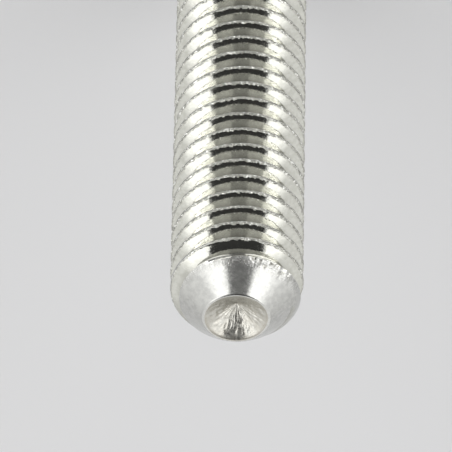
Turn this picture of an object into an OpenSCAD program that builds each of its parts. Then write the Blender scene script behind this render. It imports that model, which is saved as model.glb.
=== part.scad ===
// Grub set screw with a cup point, a hexagon socket and a right-hand metric thread.
// It is one solid piece of steel. The thread is a true helix that runs the whole length,
// and the chamfers of both ends cut across it, as on the turned and rolled original.
// The screw stands on its socket end with the cup up. The origin is the centre of the
// socket-end face, and +Z runs along the axis to the rim of the cup.

/* [Thread] */
// Diameter over the thread crests
thread_d = 6; // [5.2:0.1:8]
// Distance along the axis from one ridge to the next
pitch = 1; // [0.75:0.05:1.25]
// Height of the first ridge on the +X side, as a share of the pitch
ridge_start = 0.15; // [0:0.05:0.95]
// Facets in one turn of the helix
turn_facets = 32; // [16:4:36]

/* [Body] */
// Length from the socket-end face to the rim of the cup
screw_length = 25; // [12:1:40]
// Diameter of the flat face at the socket end
end_face_d = 4.5; // [4.2:0.1:4.7]
// Angle between the chamfer of the socket end and the axis
end_chamfer_angle = 45; // [35:1:55]

/* [Cup point] */
// Outer diameter of the rim of the cup
cup_d = 3; // [2.2:0.1:3.8]
// Width of the flat land on the rim
rim_w = 0.08; // [0.04:0.02:0.2]
// Included angle of the cone inside the cup
cup_angle = 110; // [90:2:130]
// Angle between the chamfer of the cup point and the axis
point_chamfer_angle = 45; // [35:1:50]
// Radius that rounds the shoulder between the point chamfer and the thread crests
shoulder_r = 1.2; // [0.4:0.1:2]

/* [Socket] */
// Width of the hexagon socket across its flats
socket_af = 3; // [2.4:0.1:3.2]
// Depth of the socket's six flat walls
socket_depth = 3.5; // [2:0.25:7]
// Diameter of the countersunk mouth of the socket
mouth_d = 3.8; // [3.7:0.05:4.1]
// Included angle of the countersunk mouth
mouth_angle = 120; // [90:5:130]
// Diameter of the pilot hole under the socket
pilot_d = 2.8; // [2:0.1:2.9]
// Length of the pilot hole past the socket's flat walls, without its cone
pilot_extra = 0.3; // [0.1:0.1:1]
// Included angle of the cone at the bottom of the pilot hole
pilot_angle = 118; // [90:2:140]

/* [Hidden] */

// Metric thread form: the angle of each flank, then the width of the crest and the depth of
// the root as shares of the pitch. The root lies at 17/24 of the sharp triangle's height.
flank_angle = 30;
crest_share = 1 / 8;
root_depth_share = 17 / 24 * sqrt(3) / 2;

// Sides of the socket, facets of the round cuts, and how far a cut runs past its mouth
socket_sides = 6;
round_facets = 96;
overrun = 0.5;
// How far the blank stands outside the crests, so that its wall never touches them
blank_gap = 0.02;
// Straight pieces in the rounded shoulder
shoulder_facets = 8;
// Turns of thread beyond each end face, which the end faces trim away
spare_turns = 2;

thread_r = thread_d / 2;
root_r = thread_r - root_depth_share * pitch;
crest_w = crest_share * pitch;
flank_w = (thread_r - root_r) * tan(flank_angle);
rim_r = cup_d / 2;
end_face_r = end_face_d / 2;
blank_r = thread_r + blank_gap;
socket_corner_d = socket_af / cos(180 / socket_sides);

// Corners of one ridge as [height, radius], from its lower root edge to its upper one
ridge = [
    [-crest_w / 2 - flank_w, root_r],
    [-crest_w / 2, thread_r],
    [crest_w / 2, thread_r],
    [crest_w / 2 + flank_w, root_r]
];
corners = len(ridge);
turns = ceil(screw_length / pitch) + 2 * spare_turns;
steps = turns * turn_facets;
thread_base = (ridge_start - spare_turns) * pitch;

// Point of one ridge corner, the given number of steps along the helix
function helix_point(step, corner) =
    let (
        turn = step / turn_facets,
        r = ridge[corner][1]
    )
    [r * cos(360 * turn), r * sin(360 * turn), thread_base + turn * pitch + ridge[corner][0]];

function at(step, corner) = step * corners + corner;

// Two triangles for the four-sided patch a, b, c, d
function patch(a, b, c, d) = [[a, b, c], [a, c, d]];

// Cylinder with the helical ridge, with each end closed by a fan to a point on the axis
module threaded_rod() {
    points = concat(
        [for (step = [0:steps]) for (corner = [0:corners - 1]) helix_point(step, corner)],
        [
            [0, 0, thread_base - pitch],
            [0, 0, thread_base + (turns + 1) * pitch]
        ]
    );
    low_hub = at(steps + 1, 0);
    high_hub = low_hub + 1;
    last = corners - 1;

    ridge_faces = [
        for (step = [0:steps - 1])
            for (corner = [0:last - 1])
                each patch(
                    at(step, corner + 1), at(step + 1, corner + 1),
                    at(step + 1, corner), at(step, corner)
                )
    ];
    root_faces = [
        for (step = [0:steps - turn_facets - 1])
            each patch(
                at(step + turn_facets, 0), at(step + turn_facets + 1, 0),
                at(step + 1, last), at(step, last)
            )
    ];
    low_rim = concat(
        [for (corner = [last:-1:0]) at(0, corner)],
        [for (step = [1:turn_facets]) at(step, 0)]
    );
    high_rim = concat(
        [for (corner = [0:last]) at(steps, corner)],
        [for (step = [1:turn_facets]) at(steps - step, last)]
    );
    low_faces = [
        for (i = [0:len(low_rim) - 1])
            [low_hub, low_rim[i], low_rim[(i + 1) % len(low_rim)]]
    ];
    high_faces = [
        for (i = [0:len(high_rim) - 1])
            [high_hub, high_rim[i], high_rim[(i + 1) % len(high_rim)]]
    ];
    polyhedron(points, concat(ridge_faces, root_faces, low_faces, high_faces), convexity = 10);
}

// Outer form of both ends: the end chamfer, and the point chamfer with its round shoulder
module blank() {
    end_chamfer_h = (blank_r - end_face_r) / tan(end_chamfer_angle);
    point_chamfer_h = (blank_r - rim_r) / tan(point_chamfer_angle);
    shoulder_z = screw_length - point_chamfer_h - shoulder_r * tan(point_chamfer_angle / 2);
    shoulder = [
        for (i = [0:shoulder_facets])
            let (a = point_chamfer_angle * i / shoulder_facets)
            [blank_r - shoulder_r * (1 - cos(a)), shoulder_z + shoulder_r * sin(a)]
    ];
    rotate_extrude($fn = round_facets)
        polygon(concat(
            [[0, 0], [end_face_r, 0], [blank_r, end_chamfer_h]],
            shoulder,
            [[rim_r, screw_length], [0, screw_length]]
        ));
}

// Cone with its tip down at the given height, opened to radius r at height open_z
module cone_cut(r, open_z, included_angle) {
    slope = tan(included_angle / 2);
    translate([0, 0, open_z - r / slope])
        cylinder(h = r / slope + overrun, r1 = 0, r2 = r + overrun * slope, $fn = round_facets);
}

// Hollow of the cup point
module cup_cut() {
    cone_cut(rim_r - rim_w, screw_length, cup_angle);
}

// Hexagon socket with its countersunk mouth and the pilot hole under it
module socket_cut() {
    pilot_h = socket_depth + pilot_extra;
    translate([0, 0, -overrun])
        cylinder(h = socket_depth + overrun, d = socket_corner_d, $fn = socket_sides);
    translate([0, 0, -overrun])
        cylinder(h = pilot_h + overrun, d = pilot_d, $fn = round_facets);
    mirror([0, 0, 1])
        cone_cut(mouth_d / 2, 0, mouth_angle);
    translate([0, 0, pilot_h])
        cylinder(h = pilot_d / 2 / tan(pilot_angle / 2), d1 = pilot_d, d2 = 0, $fn = round_facets);
}

module set_screw() {
    color("silver")
        difference() {
            intersection() {
                threaded_rod();
                blank();
            }
            cup_cut();
            socket_cut();
        }
}

set_screw();
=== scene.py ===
"""Looks of a grub set screw: its threaded steel body on a pale floor, in a pale room.

The screw stands on its socket end, cup up, as in the frame. Everything is in metres. The
screw's surface is worked out as radius over height and angle, so that its mesh, its
normals, its wear and its painted shade and highlights all come from the same functions.
"""

import math

import bpy
import numpy as np
from mathutils import Matrix, Vector


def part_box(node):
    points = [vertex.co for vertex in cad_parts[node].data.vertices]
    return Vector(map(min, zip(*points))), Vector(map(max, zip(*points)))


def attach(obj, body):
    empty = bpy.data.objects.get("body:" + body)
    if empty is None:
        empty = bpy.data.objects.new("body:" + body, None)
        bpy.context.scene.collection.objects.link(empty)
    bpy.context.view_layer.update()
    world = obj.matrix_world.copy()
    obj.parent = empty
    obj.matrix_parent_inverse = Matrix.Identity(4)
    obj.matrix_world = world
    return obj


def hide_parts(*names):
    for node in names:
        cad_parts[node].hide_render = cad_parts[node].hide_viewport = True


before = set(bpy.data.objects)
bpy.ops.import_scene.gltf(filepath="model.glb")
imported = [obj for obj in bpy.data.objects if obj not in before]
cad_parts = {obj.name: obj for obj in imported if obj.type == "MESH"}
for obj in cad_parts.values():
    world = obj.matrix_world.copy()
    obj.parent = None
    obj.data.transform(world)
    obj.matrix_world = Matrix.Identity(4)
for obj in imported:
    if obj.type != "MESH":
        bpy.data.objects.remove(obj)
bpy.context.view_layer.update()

# Sizes of the screw. The CAD node's box gives its length and its diameter.
MM = 0.001
LOW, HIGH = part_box("set_screw")
LENGTH = HIGH[2] - LOW[2]
THREAD_R = (HIGH[0] - LOW[0]) / 2
PITCH = 1.0 * MM
RIDGE_START = 0.15 * PITCH
FLANK = math.radians(30)
CREST_W = PITCH / 8
CREST_ARC_R = 0.03 * MM
ROOT_DEPTH = 17 / 24 * math.sqrt(3) / 2 * PITCH
ROOT_ARC_R = math.sqrt(3) / 12 * PITCH
END_FACE_R = 2.25 * MM
CHAMFER = math.radians(45)
SHOULDER_R = 1.2 * MM
CUP_R = 1.5 * MM
RIM_W = 0.08 * MM
MIN_LAND_W = 0.004 * MM
CUP_ANGLE = math.radians(110)
SOCKET_AF = 3.0 * MM
SOCKET_DEPTH = 3.5 * MM
SOCKET_SIDES = 6
MOUTH_R = 1.9 * MM
MOUTH_ANGLE = math.radians(120)
PILOT_R = 1.4 * MM
PILOT_DEPTH = 3.8 * MM
PILOT_ANGLE = math.radians(118)

# Worn edges: outside the cup's rim, inside it in front and at the back, and where a
# groove ends. Close to the ends, the grooves fade out between two heights of the blank
# over the root.
RIM_EDGE_R = 0.16 * MM
MOUTH_EDGE_R = 0.05 * MM
FAR_MOUTH_EDGE_R = 0.2 * MM
RUN_OUT = 0.03 * MM
GROOVE_FADE = (0.02 * MM, 0.16 * MM)

# Wear: torn burrs at the tip, nicks and waves along the crests, and the cup's streaks,
# pits and one broad ridge
BURR_HEIGHT = 0.026 * MM
NICK_DEPTH = 0.016 * MM
WAVE_DEPTH = 0.004 * MM
STREAK_HEIGHT = 0.021 * MM
STREAK_LOBES = range(9, 54, 3)
PIT_HEIGHT = 0.016 * MM
BROAD_RIDGE_HEIGHT = 0.045 * MM
BROAD_RIDGE_ANGLE = 0.52 * math.pi
BROAD_RIDGE_WIDTH = 0.3

# Mesh: columns round the axis, and rows on each stretch of the surfaces. The cup's rows
# end in a fan to its tip. A thread face lies at least so far under the blank.
COLUMNS = 216
ARC_ROWS = 2
FLANK_SHARES = (0.14, 0.5, 1.0)
EDGE_ROWS = 4
CUP_ROWS = 22
LAST_CUP_REACH = 0.04
CUP_TIP_SHARE = 0.98
THREAD_ZONE_DEPTH = 0.012 * MM

# The photograph's frame and what was measured in it, in its own pixels
IMAGE_PX = 452
RIM_CENTRE_PX = (236.2, 318.5)
PX_PER_METRE = 22350
LEAN = math.radians(1.06)
VIEW_FROM_AXIS = math.radians(45)
CAMERA_DISTANCE = 0.416
SENSOR_MM = 36
CLIP_END = 20


# Noise for the wear, which depends on the place alone
def lattice_value(ix, iy, iz, seed):
    """A fixed pseudo-random number from 0 to 1 for each whole-number corner."""
    h = (ix * 73856093) ^ (iy * 19349663) ^ (iz * 83492791) ^ (seed * 2654435761)
    h = (h ^ (h >> 13)) * 1274126177 & 0xFFFFFFFF
    return ((h ^ (h >> 16)) & 0xFFFF) / 0xFFFF


def noise(p, cell, seed):
    """Smooth noise from -1 to 1 at points p, with bumps about one cell across."""
    q = p / cell
    base = np.floor(q).astype(np.int64)
    f = q - base
    f = f * f * (3 - 2 * f)
    total = 0.0
    for dx in (0, 1):
        for dy in (0, 1):
            for dz in (0, 1):
                weight = np.abs(1 - dx - f[..., 0]) * np.abs(1 - dy - f[..., 1])
                weight = weight * np.abs(1 - dz - f[..., 2])
                corner = (base[..., 0] + dx, base[..., 1] + dy, base[..., 2] + dz)
                total = total + weight * lattice_value(*corner, seed)
    return 2 * total - 1


def smooth_step(x, low, high):
    """0 up to low and 1 from high on, with a smooth rise between them."""
    t = np.clip((x - low) / (high - low), 0, 1)
    return t * t * (3 - 2 * t)


# The outside: thread, chamfers and their wear
def ring(r, phi, z):
    """Points at radius r, angle phi and height z."""
    r, phi, z = np.broadcast_arrays(r, phi, z)
    return np.stack([r * np.cos(phi), r * np.sin(phi), z], axis=-1)


def profile_breaks():
    """Distances from the crest's centre at which the profile's stretches meet."""
    arc_start = CREST_W / 2 - CREST_ARC_R * math.tan(FLANK)
    arc_end = arc_start + CREST_ARC_R * math.cos(FLANK)
    root_start = PITCH / 2 - ROOT_ARC_R * math.cos(FLANK)
    return arc_start, arc_end, root_start


def thread_radius(z, phi):
    """Metric profile with rounded crest edges and root, along a right-hand helix."""
    turns = (z - RIDGE_START) / PITCH - phi / (2 * math.pi)
    u = np.abs(turns - np.round(turns)) * PITCH
    arc_start, arc_end, root_start = profile_breaks()
    crest_arc = np.sqrt(np.maximum(CREST_ARC_R**2 - (u - arc_start) ** 2, 0)) - CREST_ARC_R
    flank = (CREST_W / 2 - u) / math.tan(FLANK)
    root_arc = ROOT_ARC_R - np.sqrt(np.maximum(ROOT_ARC_R**2 - (PITCH / 2 - u) ** 2, 0))
    depth = np.where(u < arc_start, 0, np.where(u < arc_end, crest_arc, flank))
    return THREAD_R + np.where(u > root_start, root_arc - ROOT_DEPTH, depth)


def blank_radius(z):
    """The ends' turned form: end chamfer, point chamfer and its round shoulder."""
    low = END_FACE_R + z * math.tan(CHAMFER)
    cone = CUP_R + (LENGTH - z) * math.tan(CHAMFER)
    corner = LENGTH - (THREAD_R - CUP_R) / math.tan(CHAMFER)
    start = corner - SHOULDER_R * math.tan(CHAMFER / 2)
    end = start + SHOULDER_R * math.sin(CHAMFER)
    arc = THREAD_R - SHOULDER_R + np.sqrt(np.maximum(SHOULDER_R**2 - (z - start) ** 2, 0))
    high = np.where(z < start, THREAD_R + (start - z), np.where(z < end, arc, cone))
    return np.minimum(low, high)


def outside_radius(z, phi):
    """Thread and blank, whichever is lower, with soft run-outs, nicks and burrs."""
    thread, blank = thread_radius(z, phi), blank_radius(z)
    p = ring(THREAD_R, phi, z)
    depth = np.maximum(blank - thread, 0)
    in_groove = smooth_step(THREAD_R - thread, 0.03 * MM, 0.15 * MM)
    fill = in_groove * depth * RUN_OUT**2 / (depth**2 + RUN_OUT**2)
    fill = fill + (depth - fill) * (1 - groove_amount(z))
    lumps = noise(p, 0.14 * MM, 11) + 0.6 * noise(p, 0.09 * MM, 12)
    dents = smooth_step(noise(p, 0.16 * MM, 3), 0.1, 0.8)
    wave = noise(p, 0.45 * MM, 5)
    r = np.minimum(thread, blank) + fill
    r = r + burr_amount(z, phi) * BURR_HEIGHT * lumps
    return r - crest_amount(z, phi) * (NICK_DEPTH * dents + WAVE_DEPTH * wave)


def groove_amount(z):
    """1 where the thread's grooves are cut, falling to 0 where the ends leave them shallow."""
    root = THREAD_R - ROOT_DEPTH
    return smooth_step(blank_radius(z), root + GROOVE_FADE[0], root + GROOVE_FADE[1])


def crest_amount(z, phi):
    """1 on the crests, falling to 0 a little way down the flanks and on the chamfers."""
    thread = thread_radius(z, phi)
    uncut = smooth_step(blank_radius(z) - thread, 0.0, 0.02 * MM)
    return uncut * smooth_step(thread, THREAD_R - 0.06 * MM, THREAD_R - 0.01 * MM)


def burr_amount(z, phi):
    """How torn the metal is along the edge where the point chamfer cuts the last ridge."""
    thread, blank = thread_radius(z, phi), blank_radius(z)
    past_edge = smooth_step(thread - blank, -0.02 * MM, 0.04 * MM)
    near_tip = smooth_step(blank, THREAD_R - 0.62 * MM, THREAD_R - 0.3 * MM)
    near_tip = near_tip * (z > LENGTH / 2)
    side, front = -np.cos(phi), -np.sin(phi)
    right = smooth_step(side, -0.05, 0.3) * (1 - smooth_step(side, 0.8, 0.92))
    left = 0.6 * smooth_step(-side, 0.05, 0.2) * (1 - smooth_step(-side, 0.45, 0.7))
    sides = np.maximum(right + left, 0.3)
    return past_edge * near_tip * sides * smooth_step(front, 0.05, 0.35)


def outside_point(z, phi):
    return ring(outside_radius(z, phi), phi, z)


def outside_shade_and_dark_marks(z, phi):
    """Painted shade in the thread's root, darker crests and dark specks in the burrs."""
    thread = thread_radius(z, phi)
    in_root = groove_amount(z) * smooth_step(THREAD_R - thread, 0.48 * MM, 0.6 * MM)
    spots = smooth_step(noise(ring(THREAD_R, phi, z), 0.13 * MM, 13), 0.0, 0.5)
    return 0.6 * in_root + 0.35 * crest_amount(z, phi) + spots * burr_amount(z, phi)


def normals_of(point_at, u, v, du, dv):
    """Unit normals of point_at(u, v) by differences, on the side of d/dv x d/du."""
    along = point_at(u + du, v) - point_at(u - du, v)
    across = point_at(u, v + dv) - point_at(u, v - dv)
    n = np.cross(across, along)
    return n / np.linalg.norm(n, axis=-1, keepdims=True)


class MeshParts:
    """Vertices with wear, painted shade and dark marks; faces with corner normals and zones.

    Wear is how torn the metal is at the tip; in the cup it paints a highlight on the
    streaks' ridges and shade in their hollows.
    """

    def __init__(self):
        self.points = []
        self.wear_and_streak_sheen = []
        self.shade_and_dark_marks = []
        self.faces = []
        self.normals = []
        self.zones = []

    def add_points(self, points, wear_and_streak_sheen=None, shade_and_dark_marks=None):
        first = len(self.points)
        self.points += [tuple(p) for p in points]
        self.wear_and_streak_sheen += list(np.zeros(len(points)) if wear_and_streak_sheen is None else wear_and_streak_sheen)
        self.shade_and_dark_marks += list(np.zeros(len(points)) if shade_and_dark_marks is None else shade_and_dark_marks)
        return list(range(first, len(self.points)))

    def add_face(self, corners, normals, zone):
        """Adds a face, less the corners that fall together."""
        keep = [i for i in range(len(corners)) if corners[i] != corners[i - 1]]
        if len({corners[i] for i in keep}) < 3:
            return
        self.faces.append([corners[i] for i in keep])
        self.normals += [tuple(normals[i]) for i in keep]
        self.zones.append(zone)

    def add_band(self, low, high, low_n, high_n, zone):
        """Quads between two rings. Seen from the free side, high is further up."""
        for j in range(COLUMNS):
            k = (j + 1) % COLUMNS
            corners = [low[j], low[k], high[k], high[j]]
            self.add_face(corners, [low_n[j], low_n[k], high_n[k], high_n[j]], zone)

    def add_fan(self, rim, rim_n, tip, tip_n, zone):
        """Triangles from a ring to one point beyond it."""
        point = self.add_points([tip])[0]
        for j in range(COLUMNS):
            k = (j + 1) % COLUMNS
            self.add_face([rim[j], rim[k], point], [rim_n[j], rim_n[k], tip_n], zone)


def column_angles(count=COLUMNS):
    return np.arange(count) * 2 * math.pi / COLUMNS


def around(nr, nz):
    """The normal with radial part nr and axial part nz, once for each column."""
    length = math.hypot(nr, nz)
    return ring(nr / length, column_angles(), nz / length)


def profile_offsets():
    """Heights of the mesh rows within one pitch, measured from a crest's centre."""
    arc_start, arc_end, root_start = profile_breaks()
    half = list(np.linspace(arc_start, arc_end, ARC_ROWS + 1))
    half += [arc_end + (root_start - arc_end) * share for share in FLANK_SHARES]
    half += list(np.linspace(root_start, PITCH / 2, ARC_ROWS + 1))[1:]
    return np.array(half + [PITCH - h for h in reversed(half[:-1])])


def build_outside(parts):
    """Adds thread and chamfers on helical rows. Returns the rings at its foot and top."""
    offsets = profile_offsets()
    # Spare turns below the foot and above the top, which the ends cut off
    turns = math.ceil(LENGTH / PITCH) + 3
    starts = RIDGE_START + (np.arange(turns) - 2) * PITCH
    rows = (starts[:, None] + offsets[None, :]).ravel()
    angles = column_angles(COLUMNS + 1)
    top = LENGTH - rim_edge_radius(angles) * (1 - math.sin(CHAMFER))
    step_z, step_phi = 1e-7, 1e-5
    z = np.clip(rows[:, None] + PITCH * angles[None, :] / (2 * math.pi), 0, top)
    phi = np.broadcast_to(angles, z.shape)
    points = outside_point(z, phi)
    wear_and_streak_sheen, shade_and_dark_marks = burr_amount(z, phi), outside_shade_and_dark_marks(z, phi)
    inner_z = np.clip(z, 2 * step_z, top - 2 * step_z)
    normals = normals_of(outside_point, inner_z, phi, step_z, step_phi)
    on_thread = outside_radius(z, phi) < blank_radius(z) - THREAD_ZONE_DEPTH

    foot = parts.add_points(outside_point(np.zeros(COLUMNS), angles[:-1]))
    crown = parts.add_points(outside_point(top[:-1], angles[:-1]))
    index = {}

    def vertex(i, j):
        """The last column is the first one, a pitch further up."""
        if j == COLUMNS:
            i, j = i + len(offsets), 0
        if z[i, j] <= 0:
            return foot[j]
        if z[i, j] >= top[j]:
            return crown[j]
        if (i, j) not in index:
            place = parts.add_points([points[i, j]], [wear_and_streak_sheen[i, j]], [shade_and_dark_marks[i, j]])
            index[i, j] = place[0]
        return index[i, j]

    for j in range(COLUMNS):
        for i in range(len(rows) - len(offsets) - 1):
            if z[i + 1, j + 1] <= 0 or (z[i, j] >= top[j] and z[i, j + 1] >= top[j + 1]):
                continue
            cells = [(i, j), (i, j + 1), (i + 1, j + 1), (i + 1, j)]
            zone = "thread" if sum(on_thread[c] for c in cells) >= 2 else "turned"
            parts.add_face([vertex(*c) for c in cells], [normals[c] for c in cells], zone)
    return foot, crown


# The cup
def rim_edge_radius(phi):
    """The rim's outer edge is worn round, a little unevenly."""
    return RIM_EDGE_R * (1 + 0.15 * np.cos(2 * phi + 0.7))


def mouth_edge_radius(phi):
    """The cup's mouth is crisp in front, and much rounder at the back."""
    back = smooth_step(np.sin(phi), -0.5, 0.9)
    return MOUTH_EDGE_R + (FAR_MOUTH_EDGE_R - MOUTH_EDGE_R) * back


def streak_height(reach, phi):
    """Radial ridges in the cup, roughly from -1 to 1, by reach from tip to rim."""
    rng = np.random.default_rng(7)
    p = ring(reach * CUP_R, phi, 0 * phi)
    bent = phi + 0.12 * noise(p, 0.45 * MM, 31)
    total = np.zeros_like(phi)
    for lobes in STREAK_LOBES:
        size, phase = rng.uniform(0.4, 1.0), rng.uniform(0, 2 * math.pi)
        drift = rng.uniform(-2.5, 2.5)
        wave = size * np.cos(lobes * bent + phase + drift * reach)
        total = total + wave * STREAK_LOBES[0] / lobes
    return total / 3


def cup_relief(reach, phi):
    """Height added to the cup's cone: streaks, pits, and one broad ridge at the back."""
    fade = smooth_step(reach, 0.0, 0.25) * smooth_step(1 - reach, 0.0, 0.2)
    p = ring(reach * CUP_R, phi, 0 * phi)
    pits = noise(p, 0.17 * MM, 21) + 0.6 * noise(p, 0.09 * MM, 22)
    off_ridge = (phi % (2 * math.pi)) - BROAD_RIDGE_ANGLE + 0.1 * noise(p, 0.3 * MM, 23)
    ridge = np.exp(-((off_ridge / BROAD_RIDGE_WIDTH) ** 2))
    streaks = STREAK_HEIGHT * streak_height(reach, phi)
    return fade * (streaks + PIT_HEIGHT * pits + BROAD_RIDGE_HEIGHT * ridge)


def build_cup(parts, crown):
    """Adds the worn rim with its flat land, and the streaky cone inside it."""
    angles = column_angles()
    outer_edge = rim_edge_radius(angles)
    turn = math.pi / 2 - CHAMFER
    edge_r = CUP_R - outer_edge * math.tan(turn / 2)
    last, last_n = crown, around(math.cos(CHAMFER), math.sin(CHAMFER))
    for a in np.linspace(CHAMFER, math.pi / 2, EDGE_ROWS + 1)[1:]:
        r = edge_r + outer_edge * math.cos(a)
        here = parts.add_points(ring(r, angles, LENGTH - outer_edge * (1 - math.sin(a))))
        here_n = around(math.cos(a), math.sin(a))
        parts.add_band(last, here, last_n, here_n, "turned")
        last, last_n = here, here_n

    # The land's inner end is as far out as the mouth's worn edge puts it, and always
    # leaves some land
    mouth_r = CUP_R - RIM_W
    depth = mouth_r / math.tan(CUP_ANGLE / 2)
    lean_in = math.pi / 2 - CUP_ANGLE / 2
    inner_edge = mouth_edge_radius(angles)
    inner_r = mouth_r + inner_edge * math.tan(lean_in / 2)
    inner_r = np.minimum(inner_r, edge_r - MIN_LAND_W)
    for a in np.linspace(0, lean_in, EDGE_ROWS + 1):
        r = inner_r - inner_edge * math.sin(a)
        here = parts.add_points(ring(r, angles, LENGTH - inner_edge * (1 - math.cos(a))))
        here_n = around(-math.sin(a), math.cos(a))
        parts.add_band(last, here, last_n, here_n, "cup" if a else "turned")
        last, last_n = here, here_n

    start_r = inner_r - inner_edge * math.sin(lean_in)
    start_z = LENGTH - inner_edge * (1 - math.cos(lean_in))

    def cup_point(reach, column):
        """Columns count as angles here, so that the mouth's start can be looked up."""
        phi = column * 2 * math.pi / COLUMNS
        r = np.interp(phi, angles, start_r, period=2 * math.pi) * reach
        rim_z = np.interp(phi, angles, start_z, period=2 * math.pi)
        cone_z = LENGTH - depth + (rim_z - LENGTH + depth) * reach
        return ring(r, phi, cone_z + cup_relief(reach, phi))

    reach_step, column_step = 1e-4, 1e-3
    for reach in np.linspace(1, LAST_CUP_REACH, CUP_ROWS + 1)[1:]:
        reaches, columns = np.full(COLUMNS, reach), np.arange(COLUMNS)
        # Painted highlight on the streaks' ridges and painted shade in their hollows, passed
        # on as wear
        glint = np.clip(0.5 + 0.5 * streak_height(reaches, angles), 0, 1)
        here = parts.add_points(cup_point(reaches, columns), glint)
        here_n = normals_of(cup_point, reaches, columns, reach_step, column_step)
        here_n = here_n * np.sign(here_n[:, 2:3])
        parts.add_band(last, here, last_n, here_n, "cup")
        last, last_n = here, here_n
    tip = (0, 0, LENGTH - depth * CUP_TIP_SHARE)
    parts.add_fan(last, last_n, tip, (0, 0, 1), "cup")


# The socket
def hexagon_radius(phi):
    """Distance from the axis to the socket's wall. A corner lies on the +X side."""
    sector = 2 * math.pi / SOCKET_SIDES
    return SOCKET_AF / 2 / np.cos(phi % sector - sector / 2)


def build_socket(parts, foot):
    """Adds the end face, countersunk mouth, six flat walls, and pilot hole with its cone."""
    angles = column_angles()
    down = around(0, -1)
    mouth = parts.add_points(ring(MOUTH_R, angles, 0))
    parts.add_band(mouth, foot, down, down, "turned")

    hexagon = hexagon_radius(angles)
    sink = (MOUTH_R - hexagon) / math.tan(MOUTH_ANGLE / 2)
    mouth_n = around(-math.cos(MOUTH_ANGLE / 2), -math.sin(MOUTH_ANGLE / 2))
    edge = parts.add_points(ring(hexagon, angles, sink))
    parts.add_band(edge, mouth, mouth_n, mouth_n, "turned")

    ledge = parts.add_points(ring(hexagon, angles, SOCKET_DEPTH))
    per_side = COLUMNS // SOCKET_SIDES
    for j in range(COLUMNS):
        k = (j + 1) % COLUMNS
        side = (j // per_side + 0.5) * 2 * math.pi / SOCKET_SIDES
        wall_n = [(-math.cos(side), -math.sin(side), 0)] * 4
        parts.add_face([ledge[j], ledge[k], edge[k], edge[j]], wall_n, "socket")

    pilot = parts.add_points(ring(PILOT_R, angles, SOCKET_DEPTH))
    bottom = parts.add_points(ring(PILOT_R, angles, PILOT_DEPTH))
    inward = around(-1, 0)
    parts.add_band(pilot, ledge, down, down, "socket")
    parts.add_band(bottom, pilot, inward, inward, "socket")
    half = PILOT_ANGLE / 2
    cone_n = around(-math.cos(half), -math.sin(half))
    tip = (0, 0, PILOT_DEPTH + PILOT_R / math.tan(half))
    parts.add_fan(bottom[::-1], cone_n[::-1], tip, (0, 0, -1), "socket")


def build_screw():
    parts = MeshParts()
    foot, crown = build_outside(parts)
    build_cup(parts, crown)
    build_socket(parts, foot)
    mesh = bpy.data.meshes.new("threaded_screw")
    mesh.from_pydata(parts.points, [], parts.faces)
    zones = list(ZONE_LOOKS)
    for zone in zones:
        mesh.materials.append(steel(zone))
    mesh.polygons.foreach_set("material_index", [zones.index(z) for z in parts.zones])
    mesh.polygons.foreach_set("use_smooth", [True] * len(parts.faces))
    for name, values in (("wear_and_streak_sheen", parts.wear_and_streak_sheen), ("shade_and_dark_marks", parts.shade_and_dark_marks)):
        mesh.attributes.new(name, "FLOAT", "POINT").data.foreach_set("value", values)
    mesh.update()
    mesh.normals_split_custom_set(parts.normals)
    screw = bpy.data.objects.new("threaded_screw", mesh)
    bpy.context.scene.collection.objects.link(screw)
    return screw


# Materials
class Nodes:
    """Adds nodes to one node tree. A socket is given a number, a colour or another socket."""

    def __init__(self, tree):
        self.tree = tree

    def add(self, kind, sockets=None, **settings):
        node = self.tree.nodes.new(kind)
        for name, value in settings.items():
            setattr(node, name, value)
        self.set(node, sockets or {})
        return node

    def set(self, node, sockets):
        for name, value in sockets.items():
            if isinstance(value, bpy.types.NodeSocket):
                self.tree.links.new(value, node.inputs[name])
            else:
                node.inputs[name].default_value = value

    def math(self, operation, a, b=0.0):
        return self.add("ShaderNodeMath", {0: a, 1: b}, operation=operation).outputs[0]

    def ramp(self, value, low, high, at_low=0.0, at_high=1.0):
        """Smooth step from at_low, where value is low, to at_high."""
        sockets = {"Value": value, "From Min": low, "From Max": high}
        sockets |= {"To Min": at_low, "To Max": at_high}
        node = self.add("ShaderNodeMapRange", sockets, interpolation_type="SMOOTHSTEP")
        return node.outputs["Result"]

    def mix(self, factor, a, b):
        """a + factor * (b - a), for numbers."""
        sockets = {"Factor": factor, "A": a, "B": b}
        return self.add("ShaderNodeMix", sockets, data_type="FLOAT").outputs["Result"]

    def noise(self, place, scale, detail=2.0):
        sockets = {"Vector": place, "Scale": scale, "Detail": detail}
        return self.add("ShaderNodeTexNoise", sockets).outputs["Fac"]

    def mix_colours(self, factor, a, b):
        """From colour a to colour b. Each is three numbers or a socket."""
        node = self.add("ShaderNodeMix", {"Factor": factor}, data_type="RGBA")
        for socket, colour in zip([s for s in node.inputs if s.type == "RGBA"], (a, b)):
            if isinstance(colour, bpy.types.NodeSocket):
                self.tree.links.new(colour, socket)
            else:
                socket.default_value = (*colour, 1)
        return next(s for s in node.outputs if s.type == "RGBA")


# Each zone's two tones, its lowest and highest roughness, and the depths of its grain
# and of its torn spots in metres
ZONE_LOOKS = {
    "thread": ((0.51, 0.51, 0.465), (0.57, 0.57, 0.525), 0.05, 0.12, 1.6e-6, 40e-6),
    "turned": ((0.51, 0.51, 0.49), (0.58, 0.58, 0.555), 0.15, 0.25, 1.6e-6, 16e-6),
    "cup": ((0.44, 0.42, 0.37), (0.60, 0.595, 0.555), 0.26, 0.4, 1.5e-6, 4e-6),
    "socket": ((0.42, 0.42, 0.41), (0.50, 0.50, 0.49), 0.28, 0.36, 1e-6, 0.0),
}
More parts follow.
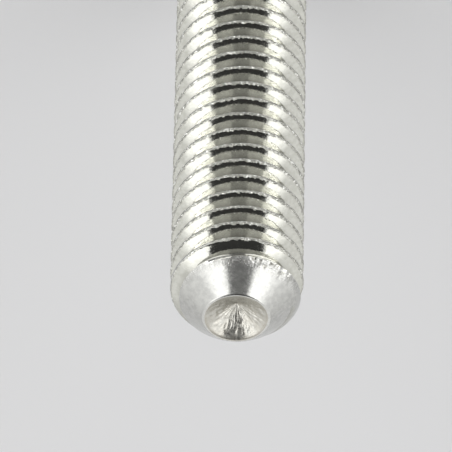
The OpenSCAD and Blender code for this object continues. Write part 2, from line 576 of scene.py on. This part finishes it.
# Colour of the painted shade in the thread's root, of the darker crests and of the burrs'
# specks
SHADE_AND_DARK_MARK_TONE = (0.2, 0.195, 0.175)
GLINT_TONE = (0.86, 0.86, 0.82)
WORN_ROUGHNESS = 0.45
CREST_WEAR = 0.9
RAGGED_DEPTH = 0.055 * MM

# Scales of the noise textures, in bumps to the metre
MOTTLE_SCALE = 4500.0
GRAIN_SCALE = 11000.0
TORN_SCALE = 10000.0
GLINT_SCALE = 8000.0
RAGGED_SCALE = 6000.0


def new_material(name):
    material = bpy.data.materials.new(name)
    material.use_nodes = True
    return material, Nodes(material.node_tree), material.node_tree.nodes["Principled BSDF"]


def crest_wear(nodes, place):
    """Wear on the crests, found from the distance to the axis, with a ragged edge."""
    x, y, _ = nodes.add("ShaderNodeSeparateXYZ", {"Vector": place}).outputs
    square = nodes.math("ADD", nodes.math("MULTIPLY", x, x), nodes.math("MULTIPLY", y, y))
    ragged = nodes.ramp(nodes.noise(place, RAGGED_SCALE), 0.4, 0.68, 0.0, RAGGED_DEPTH)
    reach = nodes.math("ADD", nodes.math("SQRT", square), ragged)
    return nodes.ramp(reach, THREAD_R - 0.03 * MM, THREAD_R - 0.01 * MM, 0.0, CREST_WEAR)


def steel(zone):
    """Bare steel: mottled tone, fine grain, painted shade and highlights, dark marks, torn
    spots, bright glints.
    """
    dull, bright, smooth, rough, grain_depth, torn_depth = ZONE_LOOKS[zone]
    material, nodes, shader = new_material("steel_" + zone)
    place = nodes.add("ShaderNodeTexCoord").outputs["Object"]
    if zone == "thread":
        wear_and_streak_sheen = crest_wear(nodes, place)
    else:
        wear_and_streak_sheen = nodes.add("ShaderNodeAttribute", attribute_name="wear_and_streak_sheen").outputs["Fac"]
    mottle = nodes.noise(place, MOTTLE_SCALE, 4.0)
    grain = nodes.noise(place, GRAIN_SCALE)
    torn = nodes.ramp(nodes.noise(place, TORN_SCALE, 1.0), 0.45, 0.7)
    tone = nodes.ramp(mottle, 0.35, 0.65)
    roughness = nodes.ramp(grain, 0.3, 0.7, smooth, rough)
    if zone == "cup":
        # In the cup, the streak value paints a highlight on the ridges and shade in the
        # hollows
        tone = nodes.mix(0.7, tone, wear_and_streak_sheen)
    if zone in ("thread", "turned"):
        roughness = nodes.mix(wear_and_streak_sheen, roughness, WORN_ROUGHNESS)
    colour = nodes.mix_colours(tone, dull, bright)
    # Painted shade in the thread's root, darker crests and dark specks in the burrs
    shade_and_dark_marks = nodes.add("ShaderNodeAttribute", attribute_name="shade_and_dark_marks").outputs["Fac"]
    colour = nodes.mix_colours(shade_and_dark_marks, colour, SHADE_AND_DARK_MARK_TONE)
    if zone == "thread":
        glints = nodes.ramp(nodes.noise(place, GLINT_SCALE, 1.0), 0.55, 0.65)
        colour = nodes.mix_colours(nodes.math("MULTIPLY", glints, wear_and_streak_sheen), colour, GLINT_TONE)
    height = nodes.math("MULTIPLY", grain, grain_depth)
    torn_height = nodes.math("MULTIPLY", nodes.math("MULTIPLY", torn, torn_depth), wear_and_streak_sheen)
    bump = nodes.add("ShaderNodeBump", {"Height": nodes.math("ADD", height, torn_height)})
    nodes.set(bump, {"Distance": 1.0})
    nodes.set(shader, {
        "Metallic": 1.0,
        "Base Color": colour,
        "Roughness": roughness,
        "Normal": bump.outputs["Normal"],
    })
    return material


FLOOR_HALF = 2.5
FLOOR_TONE = (0.62, 0.62, 0.625)
FLOOR_ROUGHNESS = 0.2


def make_floor():
    half = FLOOR_HALF
    mesh = bpy.data.meshes.new("floor")
    corners = [(-half, -half, 0), (half, -half, 0), (half, half, 0), (-half, half, 0)]
    mesh.from_pydata(corners, [], [(0, 1, 2, 3)])
    floor = bpy.data.objects.new("floor", mesh)
    material, nodes, shader = new_material("pale_floor")
    nodes.set(shader, {"Base Color": (*FLOOR_TONE, 1), "Roughness": FLOOR_ROUGHNESS})
    mesh.materials.append(material)
    bpy.context.scene.collection.objects.link(floor)


# Light: a pale room with a bright panel on each side of a dark strip overhead, and a low
# lamp in front on each side. A direction is given by how far it goes across (+X) and
# along (+Y) for each metre up. Each panel has its inner edge and its outer edge, each of
# them soft between two numbers, and the gap between the panels grows towards the front.
# A lamp starts so far aside for each metre forward, and ends at a height.
PANELS = {1: ((0.36, 0.42), (0.9, 1.7)), -1: ((0.54, 0.61), (1.3, 2.2))}
PANEL_RADIANCE = 2.1
PANEL_FOOT = 0.45
GAP_GROWTH = {1: 0.04, -1: 0.12}
LAMPS_ASIDE = {1: (0.86, 1.0), -1: (1.04, 1.18)}
LAMP_TOP = (0.19, 0.28)
LAMP_RADIANCE = 8.0
ROOM_RADIANCE = 1.08
ROOM_FOOT_SHARE = 0.72
FRONT_DIMMING = 0.58
OVERHEAD_RADIANCE = 0.05
STRIP_FRONT_RADIANCE = 0.26


def distance_out(nodes, side, across, along):
    """How far a direction goes out to one side, less the gap's growth towards the front."""
    growth = nodes.ramp(along, -0.9, -0.4, GAP_GROWTH[side], 0.0)
    return nodes.math("SUBTRACT", nodes.math("MULTIPLY", across, float(side)), growth)


def make_room():
    world = bpy.data.worlds.new("room")
    bpy.context.scene.world = world
    world.use_nodes = True
    nodes = Nodes(world.node_tree)
    place = nodes.add("ShaderNodeTexCoord").outputs["Generated"]
    x, y, z = nodes.add("ShaderNodeSeparateXYZ", {"Vector": place}).outputs
    height = nodes.math("MAXIMUM", z, 0.02)
    across, along = nodes.math("DIVIDE", x, height), nodes.math("DIVIDE", y, height)
    forward = nodes.math("MULTIPLY", y, -1.0)
    ahead = nodes.math("MULTIPLY", along, -1.0)

    # The walls are greyer straight in front, and darken a little towards the floor
    centre = nodes.ramp(nodes.math("ABSOLUTE", x), 0.3, 0.7, 1.0, 0.0)
    front = nodes.math("MULTIPLY", nodes.ramp(forward, 0.0, 0.5), centre)
    dimmed = nodes.mix(front, ROOM_RADIANCE, ROOM_RADIANCE * (1 - FRONT_DIMMING))
    light = nodes.math("MULTIPLY", dimmed, nodes.ramp(z, 0.0, 0.4, ROOM_FOOT_SHARE, 1.0))

    # The strip is darkest overhead and ends behind the screw and near the floor
    strip = nodes.ramp(ahead, 0.25, 1.3, OVERHEAD_RADIANCE, STRIP_FRONT_RADIANCE)
    not_behind = nodes.ramp(along, 0.1, 0.6, 1.0, 0.0)
    inside = nodes.math("MULTIPLY", not_behind, nodes.ramp(z, 0.3, 0.5))
    for side, (inner, _) in PANELS.items():
        out = distance_out(nodes, side, across, along)
        inside = nodes.math("MULTIPLY", inside, nodes.ramp(out, *inner, 1.0, 0.0))
    light = nodes.mix(inside, light, strip)

    # In front, the panels come down to the floor: below their foot's height, they go on
    # straight down
    foot = nodes.math("MAXIMUM", z, PANEL_FOOT)
    across, along = nodes.math("DIVIDE", x, foot), nodes.math("DIVIDE", y, foot)
    depth = nodes.ramp(along, 0.0, 0.4, 1.0, 0.0)
    for side, (inner, outer) in PANELS.items():
        out = distance_out(nodes, side, across, along)
        before_outer = nodes.ramp(out, *outer, 1.0, 0.0)
        panel = nodes.math("MULTIPLY", nodes.ramp(out, *inner), before_outer)
        light = nodes.mix(nodes.math("MULTIPLY", panel, depth), light, PANEL_RADIANCE)

    # Low lamps stand in front on both sides, and their shine lies on the floor
    aside = nodes.math("DIVIDE", x, nodes.math("MAXIMUM", forward, 0.05))
    under_top = nodes.ramp(z, *LAMP_TOP, 1.0, 0.0)
    low = nodes.math("MULTIPLY", nodes.ramp(forward, 0.05, 0.3), under_top)
    for side, inner in LAMPS_ASIDE.items():
        lamp = nodes.ramp(nodes.math("MULTIPLY", aside, float(side)), *inner)
        light = nodes.mix(nodes.math("MULTIPLY", lamp, low), light, LAMP_RADIANCE)
    nodes.set(world.node_tree.nodes["Background"], {"Color": (1, 1, 1, 1), "Strength": light})


def make_camera():
    """Looks from 45 degrees off the axis, with the cup at the foot of the picture."""
    to_camera = Vector((0, -math.sin(VIEW_FROM_AXIS), math.cos(VIEW_FROM_AXIS)))
    plain_right = Vector((-1, 0, 0))
    plain_down = Vector((0, math.cos(VIEW_FROM_AXIS), math.sin(VIEW_FROM_AXIS)))
    right = plain_right * math.cos(LEAN) - plain_down * math.sin(LEAN)
    down = plain_right * math.sin(LEAN) + plain_down * math.cos(LEAN)
    offset = [(IMAGE_PX / 2 - c) / PX_PER_METRE for c in RIM_CENTRE_PX]
    aim = Vector((0, 0, LENGTH)) + right * offset[0] + down * offset[1]
    data = bpy.data.cameras.new("camera")
    data.sensor_width = SENSOR_MM
    data.lens = SENSOR_MM * CAMERA_DISTANCE * PX_PER_METRE / IMAGE_PX
    data.clip_end = CLIP_END
    camera = bpy.data.objects.new("camera", data)
    turn = Matrix((right, -down, to_camera)).transposed()
    camera.matrix_world = Matrix.Translation(aim + to_camera * CAMERA_DISTANCE) @ turn.to_4x4()
    bpy.context.scene.collection.objects.link(camera)
    bpy.context.scene.camera = camera


make_camera()
screw = build_screw()
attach(screw, "root")
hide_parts("set_screw")
make_floor()
make_room()
bpy.context.scene.view_settings.view_transform = "Standard"
